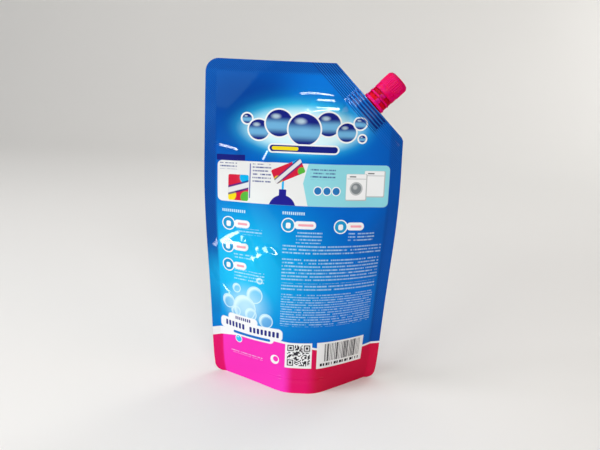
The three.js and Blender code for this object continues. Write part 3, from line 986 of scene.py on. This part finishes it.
# Info panel and its pictures: centre, size and corner of panels, centre and radius of discs, and inks
INFO_TAB = ((-54.7, 177.0), (21.4, 4.6), 0.6, NAVY)
INFO_SHAPE = ((1.0, 159.0), (131.4, 31.2), 3.6)
INFO_DIVIDER = ((-39.8, 160.0), (0.9, 26.0), 0.4, ink("6F74AE"))
CHEVRON_PLACE = (0.6, 160.0)
CHEVRON_SLOPE = 0.25
UPRIGHT_PACK = ((-48.6, 154.4), (15.6, 19.6))
POURING_PACK = ((-11, 168.4), (24.0, 11.0))
POURING_TILT = math.radians(-24)
STREAM = ((-14.6, 158.4), (1.6, 7.0), 0.6, SKY)
BOTTLE = ((-14.6, 140.4), 10.4)
BOTTLE_NECK = ((-14.6, 152.0), (5.6, 6.0), 0.6)
DIALS = ((12.0, 154.8), (19.0, 154.8), (26.0, 154.8))
DIAL_RINGS = ((3.4, WHITE), (2.7, ink("2A76B8")))
MACHINES = ((55.3, 160.6), (41.4, 158.0))
MACHINE_PANELS = (
    (0, 0, (16.2, 19.8), 1.0, STEEL),
    (-0.3, 0.3, (15.2, 18.8), 0.8, WHITE),
    (0, 6.2, (14.4, 0.5), 0.2, STEEL),
    (-3, 7.8, (5.0, 0.9), 0.3, ink("6B7073")),
)
MACHINE_DOOR = (((41.2, 157.0), 5.0, STEEL), ((41.2, 157.0), 3.9, ink("7E868A")))
DOOR_SHINE = ((40.4, 158.0), 1.6, 0.8)


def info_panel(tree, film, ground):
    """Pale grey and pale cyan panel with simple pictures of use."""
    across, up = split(tree, film)
    ground = panels(tree, film, ground, [INFO_TAB])
    shape = panel(tree, film, *INFO_SHAPE)
    ground = layered(tree, ground, shape, PANEL_GREY)
    off = add(tree, "Math", up, CHEVRON_PLACE[1], operation="SUBTRACT")
    off = add(tree, "Math", off, operation="ABSOLUTE")
    chevron = add(tree, "Math", off, CHEVRON_SLOPE, CHEVRON_PLACE[0], operation="MULTIPLY_ADD")
    past = add(tree, "Math", chevron, across, operation="SUBTRACT")
    ground = layered(tree, ground, both(tree, shape, within(tree, past, 0.0)), PANEL_CYAN)
    ground = panels(tree, film, ground, [INFO_DIVIDER])

    ground = small_pack(tree, film, ground, *UPRIGHT_PACK)
    ground = panels(tree, film, ground, [STREAM])
    pivot = (*POURING_PACK[0], 0)
    tilted = add(tree, "VectorRotate", film, pivot, None, POURING_TILT, rotation_type="Z_AXIS")
    ground = small_pack(tree, tilted, ground, *POURING_PACK)
    bottle = either(tree, [disc(tree, film, *BOTTLE), panel(tree, film, *BOTTLE_NECK)])
    ground = layered(tree, ground, both(tree, shape, bottle), ink("22208E"))

    for middle in DIALS:
        ground = discs(tree, film, ground, [(middle, *ring) for ring in DIAL_RINGS])
    for u, v in MACHINES:
        ground = panels(tree, film, ground, [((u + x, v + y), *rest) for x, y, *rest in MACHINE_PANELS])
    ground = discs(tree, film, ground, MACHINE_DOOR)
    return layered(tree, ground, disc(tree, film, *DOOR_SHINE), STEEL)


# Round signs: middle of each and the length of the label beside it
SIGNS = (
    (-56.2, 126.4, 12.6), (-56.8, 109.4, 12.6), (-57.0, 94.0, 11.4), (-9.2, 129.0, 16.6),
    (30.8, 128.8, 13.6),
)
SIGN_RIM = 5.3
SIGN_FACE = 4.5
SIGN_MARK = ((3.6, 4.2), 1.2, WHITE)
MARK_DROP = 0.3
LABEL_RISE = 0.4
LABEL_HEIGHT = 5.8
LABEL_CORNER = 2.8
LINE_SHIFT = 0.6
LINE_SHORTER = 5
LINE_HEIGHT = 1.7
LINE_CORNER = 0.6


def signs(tree, film, ground):
    """Blue discs with a pale rim and mark, each over the end of its label."""
    for u, v, label in SIGNS:
        across, up = u + SIGN_FACE + label / 2, v + LABEL_RISE
        ground = panels(tree, film, ground, (
            ((across, up), (label, LABEL_HEIGHT), LABEL_CORNER, WHITE),
            ((across + LINE_SHIFT, up), (label - LINE_SHORTER, LINE_HEIGHT), LINE_CORNER, ink("EFA3B0")),
        ))
        ground = discs(tree, film, ground, (((u, v), SIGN_RIM, WHITE), ((u, v), SIGN_FACE, ink("1E96CC"))))
        ground = panels(tree, film, ground, [((u, v - MARK_DROP), *SIGN_MARK)])
    return ground


# Blocks of fine print: left, right, low and high edges
FINE_BLOCKS = (
    (-50, -29, 119.0, 123.6), (-52, -36, 100.6, 105.0), (-52, -26, 82.6, 91.4), (-3, 17, 116.0, 125.6),
    (37, 58, 118.0, 125.6), (-13, 65, 107.4, 115.2), (-12.8, 64.4, 88.2, 105.0), (-12.6, 63.4, 79.6, 86.0),
)
SMALLEST_BLOCKS = ((-12.4, 62.4, 52.4, 77.6), (-57, -27, 20.0, 23.0))
NOTE_BLOCKS = ((-63, -50, 168, 173), (-38, -24, 159, 173), (6, 25, 163, 172))

# Row pitch, dash length and strength of each kind of fine print
FINE_ROWS = ((FINE_BLOCKS, 2.5, 3.2, 0.55), (SMALLEST_BLOCKS, 1.9, 3.2, 0.5))
NOTE_ROWS = (2.6, 3.0)


def block(tree, film, edges):
    left, right, low, high = edges
    return panel(tree, film, ((left + right) / 2, (low + high) / 2), (right - left, high - low), 0.2)


# Short lines of small blocks, and the cloud that carries some of them
HEADINGS = ((-52.0, 136.4, 12, 2.2), (-5.5, 137.8, 11, 2.2))
CLOUD_CORNER = 3.4
CLOUD_EDGE = 0.4
CLOUD = (((-38.6, 44.2), (57, 9.8)), ((-45, 49.6), (28, 8.6)), ((-37, 39.6), (40, 6.9)))
CLOUD_BAR = ((-37, 38.6), (34, 2.2), 1.0, ink("1A6FC4"))
CLOUD_LINES = ((-52.4, 44.8, 6, 4.6), (-25.6, 44.2, 8, 4.6), (-44.5, 51.0, 8, 2.6))


def fine_print(tree, film, ground):
    for edges_of, pitch, dash, strength in FINE_ROWS:
        areas = either(tree, [block(tree, film, edges) for edges in edges_of])
        mask = both(tree, areas, rules(tree, film, pitch, dash))
        ground = layered(tree, ground, both(tree, mask, strength), ICE)
    ground = layered(tree, ground, both(tree, blocks(tree, film, HEADINGS), 0.8), ICE)
    notes = either(tree, [block(tree, film, edges) for edges in NOTE_BLOCKS])
    return layered(tree, ground, both(tree, notes, rules(tree, film, *NOTE_ROWS)), ink("3A4A8E"))


# Square symbol: its panel, its field of cells and its corner squares
SQUARE_PANEL = ((2.8, 29.3), (20.8, 20.2), 0.2, WHITE)
SQUARE_FIELD = ((2.94, 29.4), (17.64, 16.8), 0.1)
SQUARE_CELL = 0.84
SQUARE_CORNERS = ((-3.4, 35.3), (9.3, 35.3), (-3.4, 23.5))
CORNER_RINGS = ((6.4, WHITE), (5.0, DARK), (3.4, WHITE), (2.0, DARK))

# Bar symbol: its panel, its bars and the row of marks below them
BAR_PANEL = ((38.1, 29.1), (42.0, 21.0), 0.2, WHITE)
BAR_FIELDS = ((((39.7, 31.0), (32.4, 14.4), 0.1), 1.35), (((38.0, 21.4), (36.0, 2.2), 0.2), 2.5))


def codes(tree, film, ground):
    """Two white panels with made-up squares and bars, drawn coarse enough to show."""
    ground = panels(tree, film, ground, [SQUARE_PANEL])
    cell = add(tree, "VectorMath", film, (SQUARE_CELL, SQUARE_CELL, 1), operation="DIVIDE")
    cell = add(tree, "VectorMath", cell, operation="FLOOR")
    chance = add(tree, "TexWhiteNoise", cell, noise_dimensions="2D")
    squares = add(tree, "Math", chance, 0.5, operation="GREATER_THAN")
    field = panel(tree, film, *SQUARE_FIELD)
    ground = layered(tree, ground, both(tree, field, squares), DARK)
    for corner in SQUARE_CORNERS:
        rings = [(corner, (wide, wide), 0.1, colour) for wide, colour in CORNER_RINGS]
        ground = panels(tree, film, ground, rings)
    ground = panels(tree, film, ground, [BAR_PANEL])
    for field, pitch in BAR_FIELDS:
        bars = both(tree, panel(tree, film, *field), comb(tree, film, pitch))
        ground = layered(tree, ground, bars, DARK)
    return ground


# Glow behind the foam, and the small round shapes of the foot
FOAM_GLOW = ((-42, 63), (26, 22))
DROP = ((-49, 33.4, 2.7),)
DROP_RIM = 0.6
ROUND_MARK = (((-16, 24), 3.7, WHITE), ((-15.2, 24.6), 2.2, PINK))


def front_print(tree, film):
    ground = colour_fields(tree, film)
    ground = layered(tree, ground, both(tree, glow(tree, film, *FOAM_GLOW), 0.6), ICE)
    ground = clear_bubbles(tree, film, ground, FOAM_BUBBLES, FOAM_RIM)
    ground = pink_foot(tree, film, ground)
    cloud = [panel(tree, film, centre, size, CLOUD_CORNER, CLOUD_EDGE) for centre, size in CLOUD]
    ground = layered(tree, ground, either(tree, cloud), WHITE)
    ground = layered(tree, ground, blocks(tree, film, CLOUD_LINES), NAVY)
    ground = panels(tree, film, ground, [CLOUD_BAR])
    ground = bubbles(tree, film, ground, DROP, DROP_RIM, ink("35C2EE"), 0.9)
    ground = discs(tree, film, ground, ROUND_MARK)
    for part in (emblem, info_panel, signs, fine_print, codes):
        ground = part(tree, film, ground)
    return ground


def back_print(tree, film):
    return pink_foot(tree, film, colour_fields(tree, film))


# Pressed lines of the heat seals
HATCH_PITCH = 1.5
HATCH_SIDE = SIDE_SEAL + 1.5
HATCH_TOP = 9.0
HATCH_EDGE = 0.5
HATCH_FOOT = (46.0, 54.0)
CRIMP_PITCH = 1.45
CRIMP_DEPTH = 13
CRIMP_EDGE = 0.4
WELD_HALF = WELD_LENGTH / 2
WELD_EDGE = 0.3
SEAM_HEIGHT = SKIRT_HEIGHT + 1.5
SEAM_PITCH = 3.0
SEAM_RISE = 0.1

# Fine slackness of the film, and the slanted streaks of its dark corner
SLACK_WIDTH = 9
SLACK_RISE = 0.02
STREAK_ANGLE = math.radians(-40)
STREAK_WIDTH = 1.6
STREAK_LENGTH = 40
STREAK_CORNER = ((-52, 226), (32, 34), 0.5)
STREAK_RISE = 0.05


def wave(tree, place, length, turn=0.0):
    """A ripple of that wavelength, from -1 to 1."""
    swing = add(tree, "Math", place, TURN / length, turn, operation="MULTIPLY_ADD")
    return add(tree, "Math", swing, operation="SINE")


def seals(tree, film):
    """The pressed seals: area, ripple, the ripple's height, strength of the painted shade and highlight on
    its lines and painted shade of the area.
    """
    across, up = split(tree, film)
    sine, cosine = math.sin(CUT_ANGLE), math.cos(CUT_ANGLE)
    below = add(tree, "VectorMath", film, (-sine, -cosine, 0), operation="DOT_PRODUCT", out=1)
    below = add(tree, "Math", below, SPOUT_U * sine + SPOUT_V * cosine, operation="ADD")
    along = add(tree, "VectorMath", film, (cosine, -sine, 0), operation="DOT_PRODUCT", out=1)
    along = add(tree, "Math", along, SPOUT_V * sine - SPOUT_U * cosine, operation="ADD")
    off = add(tree, "Math", along, operation="ABSOLUTE")
    from_side = add(tree, "Math", SIDE, add(tree, "Math", across, operation="ABSOLUTE"), operation="SUBTRACT")
    from_top = add(tree, "Math", HEIGHT, up, operation="SUBTRACT")

    on_side = within(tree, from_side, HATCH_SIDE, HATCH_EDGE)
    on_edge = either(tree, [on_side, within(tree, from_top, HATCH_TOP, HATCH_EDGE)])
    on_edge = both(tree, on_edge, fade(tree, up, *HATCH_FOOT))
    hatch = wave(tree, add(tree, "Math", across, up, operation="ADD"), HATCH_PITCH)
    in_weld = within(tree, off, WELD_HALF + 1, WELD_EDGE)
    in_weld = both(tree, in_weld, within(tree, below, SLEEVE_STRAIGHT, WELD_EDGE))
    rib = wave(tree, below, WELD_DEPTH / WELD_RIBS, TURN / 4)
    in_crimp = add(tree, "Math", within(tree, below, CRIMP_DEPTH, CRIMP_EDGE), in_weld, operation="SUBTRACT")
    in_crimp = both(tree, in_crimp, fade(tree, along, WELD_HALF - 1, WELD_HALF + 6, 1.0, 0.25))
    crimp = wave(tree, below, CRIMP_PITCH)
    # Painted shade: the weld is painted darker towards its lower end
    weld_painted_shade = fade(tree, along, -WELD_HALF, WELD_HALF, 0.15, 0.85)
    return (
        (on_edge, hatch, 0.02, 0.4, 0.0),
        (in_crimp, crimp, 0.08, 0.75, 0.0),
        (in_weld, rib, 0.16, 0.9, weld_painted_shade),
    )


def film_relief(tree, film, pressed):
    """Height of the pressed seals, the line of the gusset's seal and the fine slackness of the film."""
    height = 0.0
    for area, ripple, rise, _, _ in pressed:
        height = add(tree, "Mix", area, None, height, both(tree, ripple, rise))
    seam = add(tree, "Math", split(tree, film)[1], -SEAM_HEIGHT, operation="ADD")
    on_seam = glow(tree, film, (4, SEAM_HEIGHT), (34, SEAM_PITCH / 2), 0.4)
    on_seam = both(tree, on_seam, wave(tree, seam, SEAM_PITCH))
    height = add(tree, "Math", on_seam, SEAM_RISE, height, operation="MULTIPLY_ADD")
    slack = add(tree, "TexNoise", film, None, 1 / SLACK_WIDTH, 3.0, 0.55, noise_dimensions="2D")
    height = add(tree, "Math", slack, SLACK_RISE, height, operation="MULTIPLY_ADD")
    turn = (0, 0, STREAK_ANGLE)
    grain = add(tree, "Mapping", film, None, turn, (1 / STREAK_WIDTH, 1 / STREAK_LENGTH, 1))
    streaks = add(tree, "TexNoise", grain, None, 1.0, 2.0, 0.5, noise_dimensions="2D")
    on_corner = both(tree, glow(tree, film, *STREAK_CORNER), STREAK_RISE)
    return add(tree, "Math", streaks, on_corner, height, operation="MULTIPLY_ADD")


# Sizes of the materials' own patterns: uneven tones, moulded grain, spread of light, and the edges of the
# painted recess shade
GUSSET_MOTTLE = 30
EDGE_MOTTLE = 4
MOULD_MOTTLE = 6
MOULD_GRAIN = 0.4
GRAIN_RISE = 0.02
LIGHT_SPREAD = 4
RECESS_EDGE = 0.1
PROUD_EDGE = 0.2


def laminate(name, printed):
    """Gloss PET and PE laminate, printed behind its outer layer: clear sharp reflections over strong ink."""
    made, tree, shader = material(name, Roughness=0.08, IOR=1.62)
    film = add(tree, "UVMap", uv_map="film")
    colour = printed(tree, film)
    pressed = seals(tree, film)
    # Painted shade and highlight: ripple valleys are painted dark, ripple ridges light, and each seal area
    # gets its painted shade
    for area, ripple, _, strength, shade in pressed:
        valley = fade(tree, ripple, 0.2, -0.6, 0.0, strength)
        ridge = fade(tree, ripple, 0.1, 0.9, 0.0, strength * 0.5)
        colour = layered(tree, colour, both(tree, area, shade), PAINTED_SEAL_SHADE)
        colour = layered(tree, colour, both(tree, area, valley), PAINTED_SEAL_SHADE)
        colour = layered(tree, colour, both(tree, area, ridge), PAINTED_SEAL_HIGHLIGHT)
    tree.links.new(colour, shader.inputs["Base Color"])
    bump = add(tree, "Bump", 1.0, MM, None, film_relief(tree, film, pressed))
    tree.links.new(bump, shader.inputs["Normal"])
    return made


def gusset_laminate():
    """The same laminate folded under the pouch, in the foot's ink."""
    made, tree, shader = material("laminate_gusset", Roughness=0.3, IOR=1.5)
    film = add(tree, "UVMap", uv_map="film")
    shade = add(tree, "TexNoise", film, None, 1 / GUSSET_MOTTLE, 2.0, 0.5, noise_dimensions="2D")
    tree.links.new(layered(tree, ROSE, shade, PINK), shader.inputs["Base Color"])
    return made


def cut_edge():
    """Knife-cut edge of the laminate: the pale sealing layer shows as a thin light line."""
    made, tree, shader = material("laminate_cut_edge", Roughness=0.45)
    film = add(tree, "UVMap", uv_map="film")
    shade = add(tree, "TexNoise", film, None, 1 / EDGE_MOTTLE, 2.0, 0.5, noise_dimensions="2D")
    tree.links.new(layered(tree, ink("4F8AC4"), shade, ink("7DAEDA")), shader.inputs["Base Color"])
    return made


def moulded_plastic(name, code, recess_shade_code):
    """Injection-moulded polyolefin: satin gloss, light that spreads inside it, and a darker colour painted as
    shade on its recesses and on what lies near its axis.
    """
    made, tree, shader = material(name, Roughness=0.36, IOR=1.4, Specular_IOR_Level=0.2)
    shader.inputs["Subsurface Weight"].default_value = 1.0
    shader.inputs["Subsurface Scale"].default_value = LIGHT_SPREAD * MM
    shader.inputs["Subsurface Radius"].default_value = (1.0, 0.1, 0.12)
    place = add(tree, "TexCoord", out=3)
    placed = closure_frame()
    from_foot = add(tree, "VectorMath", place, placed.translation, operation="SUBTRACT")
    off_axis = add(tree, "VectorMath", from_foot, placed.col[2].xyz, operation="CROSS_PRODUCT")
    radius = add(tree, "VectorMath", off_axis, operation="LENGTH", out=1)
    # Painted shade: everything nearer the axis than the windows' floor takes the darker colour: recesses,
    # neck, inner walls and the middle of the cap's top
    recess = (LUG_RADIUS - WINDOW_DEPTH + RECESS_EDGE) * MM
    proud = fade(tree, radius, recess, (LUG_RADIUS - PROUD_EDGE) * MM)
    mottle = add(tree, "TexNoise", place, None, 1 / (MOULD_MOTTLE * MM), 3.0, 0.5)
    shade = fade(tree, mottle, 0.3, 0.7, 0.9, 1.0)
    colour = layered(tree, ink(recess_shade_code), both(tree, proud, shade), ink(code))
    tree.links.new(colour, shader.inputs["Base Color"])
    grain = add(tree, "TexNoise", place, None, 1 / (MOULD_GRAIN * MM), 2.0, 0.5)
    tree.links.new(add(tree, "Bump", 0.15, GRAIN_RISE * MM, None, grain), shader.inputs["Normal"])
    return made


# Pieces with their materials, bodies and nodes
pouch = film_piece()
film_finishes = {
    FRONT_WEB: laminate("laminate_front", front_print),
    BACK_WEB: laminate("laminate_back", back_print),
    GUSSET_WEB: gusset_laminate(),
    CUT_EDGE: cut_edge(),
}
for web in sorted(film_finishes):
    pouch.data.materials.append(film_finishes[web])
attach(pouch, "pack")
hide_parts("pouch")

# Each plastic's second colour is painted shade for its recesses and for what lies near its axis
spout_plastic = moulded_plastic("moulded_spout", "E80682", "D80426")
band_plastic = moulded_plastic("moulded_band", "E80670", "D80426")
cap_plastic = moulded_plastic("moulded_cap", "EE0466", "E20456")
for made, finish, body, node, slot in (
    (spout_piece(), spout_plastic, "pack", "spout", "spout_plastic"),
    (band_piece(), band_plastic, "band", "tamper_band", "cap_plastic"),
    (cap_piece(), cap_plastic, "screw_cap", "cap", "cap_plastic"),
):
    made.data.materials.append(finish)
    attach(made, body)
    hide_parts(node)


# Stage: a floor that sweeps up into a backdrop
FLOOR_WIDTH = 4.4
FLOOR_FRONT = -1.6
FLOOR_BACK = 0.9
BEND_RADIUS = 0.6
BEND_STEPS = 16
BACKDROP_TOP = 2.4


def sweep():
    """The floor and its backdrop, in metres."""
    mesh = bmesh.new()
    line = [(FLOOR_FRONT, 0), (FLOOR_BACK, 0)]
    for a in np.linspace(0, math.pi / 2, BEND_STEPS)[1:]:
        line.append((FLOOR_BACK + BEND_RADIUS * math.sin(a), BEND_RADIUS - BEND_RADIUS * math.cos(a)))
    line.append((FLOOR_BACK + BEND_RADIUS, BACKDROP_TOP))
    verts = [mesh.verts.new((-FLOOR_WIDTH / 2, y, z)) for y, z in line]
    edges = [mesh.edges.new(pair) for pair in zip(verts, verts[1:])]
    made = bmesh.ops.extrude_edge_only(mesh, edges=edges)["geom"]
    far_side = [part for part in made if isinstance(part, bmesh.types.BMVert)]
    bmesh.ops.translate(mesh, vec=(FLOOR_WIDTH, 0, 0), verts=far_side)
    bmesh.ops.recalc_face_normals(mesh, faces=mesh.faces)
    return finished("floor", [mesh], FILM_CRISP)


def backdrop_paper():
    """Matt paper: pale to the camera and dull in the film's reflections."""
    made, tree, shader = material("backdrop_paper", Roughness=0.9)
    place = add(tree, "TexCoord", out=3)
    noise = add(tree, "TexNoise", place, None, 3.0, 2.0, 0.5)
    pale = layered(tree, ink("EFEEEA"), noise, ink("EBEAE6"))
    mirrored = add(tree, "LightPath", out=3)
    tree.links.new(layered(tree, pale, mirrored, ink("3C3C3B")), shader.inputs["Base Color"])
    return made


floor = sweep()
floor.data.materials.append(backdrop_paper())


def area_light(name, place, target, size, power, colour):
    data = bpy.data.lights.new(name, "AREA")
    data.shape = "RECTANGLE"
    data.size, data.size_y = size
    data.energy = power
    data.color = colour
    lamp = bpy.data.objects.new(name, data)
    lamp.location = place
    lamp.rotation_euler = (Vector(target) - Vector(place)).to_track_quat("-Z", "Y").to_euler()
    bpy.context.scene.collection.objects.link(lamp)


# Lights: name, place, target, width and height in metres, power in watts and colour
LIGHTS = (
    ("key", (-1.0, -1.4, 1.15), (0, 0, 0.12), (0.38, 0.34), 4, (0.95, 0.97, 1.0)),
    ("strip", (0.15, -1.5, 1.1), (0, 0, 0.15), (1.0, 0.2), 11.5, (1.0, 1.0, 1.0)),
    ("side", (-1.28, -0.84, 0.44), (0, 0, 0.12), (0.76, 0.28), 10, (0.95, 0.97, 1.0)),
    ("card", (-0.42, -1.1, 0.3), (0, 0, 0.2), (0.3, 0.2), 0.1, (0.35, 0.9, 0.8)),
    ("fill", (1.4, -0.6, 0.6), (0, 0, 0.12), (0.9, 0.9), 3.2, (1.0, 0.7, 0.52)),
    ("rim", (-0.9, -0.1, 1.1), (0.05, 0, 0.22), (0.4, 0.4), 5, (0.97, 0.95, 1.0)),
    ("top", (0.1, 0.3, 1.6), (0, 0, 0.1), (1.0, 0.7), 6.5, (1.0, 1.0, 1.0)),
    ("back", (0.9, 1.15, 0.8), (0, 0, 0.12), (0.5, 0.9), 5, (1.0, 1.0, 1.0)),
)
for light in LIGHTS:
    area_light(*light)

# World: a dim room, pale where the camera looks past the backdrop
ROOM_LIGHT = 0.06
ROOM_SEEN = 0.62


def dim_room():
    world = bpy.data.worlds.new("studio")
    world.use_nodes = True
    tree = world.node_tree
    room = tree.nodes["Background"]
    room.inputs["Color"].default_value = (1, 1, 1, 1)
    seen = add(tree, "LightPath")
    tree.links.new(fade(tree, seen, 0.0, 1.0, ROOM_LIGHT, ROOM_SEEN), room.inputs["Strength"])
    return world


bpy.context.scene.world = dim_room()
bpy.context.scene.view_settings.view_transform = "Standard"

# Camera at the photograph's place
AZIMUTH, ELEVATION, ROLL = (math.radians(a) for a in (1.0, 16.07, 2.33))
DISTANCE = 618.1
AIM_ACROSS = -0.48
AIM_HEIGHT = 126.1
LENS = 48
SENSOR = 36
CLIP_START = 10


def photo_camera():
    reach = math.cos(ELEVATION)
    back = Vector((math.sin(AZIMUTH) * reach, -math.cos(AZIMUTH) * reach, math.sin(ELEVATION)))
    level = Vector((math.cos(AZIMUTH), math.sin(AZIMUTH), 0))
    upright = back.cross(level)
    right = level * math.cos(ROLL) + upright * math.sin(ROLL)
    aim = level * (AIM_ACROSS * MM) + Vector((0, 0, AIM_HEIGHT * MM))
    data = bpy.data.cameras.new("camera")
    data.lens = LENS
    data.sensor_width = SENSOR
    data.clip_start = CLIP_START * MM
    camera = bpy.data.objects.new("camera", data)
    camera.matrix_world = Matrix((right, back.cross(right), back)).transposed().to_4x4()
    camera.location = aim + back * (DISTANCE * MM)
    bpy.context.scene.collection.objects.link(camera)
    return camera


bpy.context.scene.camera = photo_camera()
